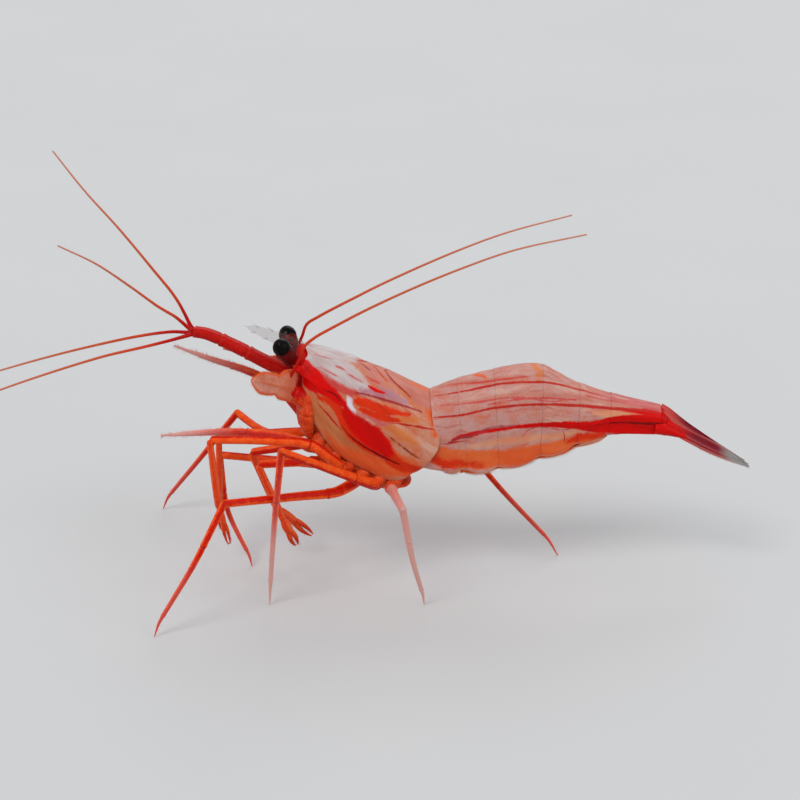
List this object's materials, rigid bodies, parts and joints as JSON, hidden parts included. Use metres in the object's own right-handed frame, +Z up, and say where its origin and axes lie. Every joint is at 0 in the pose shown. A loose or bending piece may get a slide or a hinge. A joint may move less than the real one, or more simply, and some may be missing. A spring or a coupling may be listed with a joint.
{
  "type": "cleaner shrimp",
  "caption": "Life-size museum model of a peppermint cleaner shrimp, standing alert on slender legs with its feelers spread.",
  "frame": {"origin": "on the ground, under the middle of the whole animal with its feelers and feet", "axes": "-X towards the head, +X towards the tail, -Y to the animal's left, +Z up"},
  "size_m": [0.0876, 0.0326, 0.0472],
  "materials": {
    "carapace_shell": "wet translucent shell, crimson and orange bands on pale pinkish grey",
    "belly_skin": "wet translucent orange-red skin",
    "abdomen_shell": "wet translucent pinkish-grey plates with lengthwise red stripes",
    "swimmeret_leaf": "wet translucent orange leaves",
    "tail_fan": "crimson to purple, clear grey towards the tips",
    "eye": "glossy black with a red-brown rim",
    "eyestalk": "wet dark red",
    "feeler": "bright red, fading to brownish pink at the tips",
    "head_plate": "translucent orange plate",
    "limb": "translucent orange-red with darker red cores",
    "claw": "translucent orange-red pincers"
  },
  "bodies": {
    "root": {"carapace": "carapace_shell", "thorax": "belly_skin", "abdomen_1": "abdomen_shell", "abdomen_2": "abdomen_shell", "abdomen_3": "abdomen_shell", "abdomen_4": "abdomen_shell", "abdomen_5": "abdomen_shell", "abdomen_6": "abdomen_shell", "swimmeret_1_left": "swimmeret_leaf", "swimmeret_1_right": "swimmeret_leaf", "swimmeret_2_left": "swimmeret_leaf", "swimmeret_2_right": "swimmeret_leaf", "swimmeret_3_left": "swimmeret_leaf", "swimmeret_3_right": "swimmeret_leaf", "swimmeret_4_left": "swimmeret_leaf", "swimmeret_4_right": "swimmeret_leaf", "swimmeret_5_left": "swimmeret_leaf", "swimmeret_5_right": "swimmeret_leaf", "telson": "tail_fan", "uropod_left": "tail_fan", "uropod_right": "tail_fan", "eye_left": "eye", "eye_right": "eye", "eyestalk_left": "eyestalk", "eyestalk_right": "eyestalk", "antennule_base_left": "feeler", "antennule_base_right": "feeler", "antennule_outer_left": "feeler", "antennule_outer_right": "feeler", "antennule_inner_left": "feeler", "antennule_inner_right": "feeler", "antenna_left": "feeler", "antenna_right": "feeler", "antenna_base_left": "head_plate", "antenna_base_right": "head_plate", "antennal_scale_left": "head_plate", "antennal_scale_right": "head_plate", "maxilliped_left": "limb", "maxilliped_right": "limb", "first_arm_left": "limb", "first_arm_right": "limb", "second_arm_left": "limb", "second_arm_right": "limb", "third_thigh_left": "limb", "third_thigh_right": "limb", "third_shin_left": "limb", "third_shin_right": "limb", "fourth_thigh_left": "limb", "fourth_thigh_right": "limb", "fourth_shin_left": "limb", "fourth_shin_right": "limb", "fifth_thigh_left": "limb", "fifth_thigh_right": "limb", "fifth_shin_left": "limb", "fifth_shin_right": "limb", "first_claw_left": "claw", "first_claw_right": "claw", "second_claw_left": "claw", "second_claw_right": "claw"}
  },
  "joints": []
}
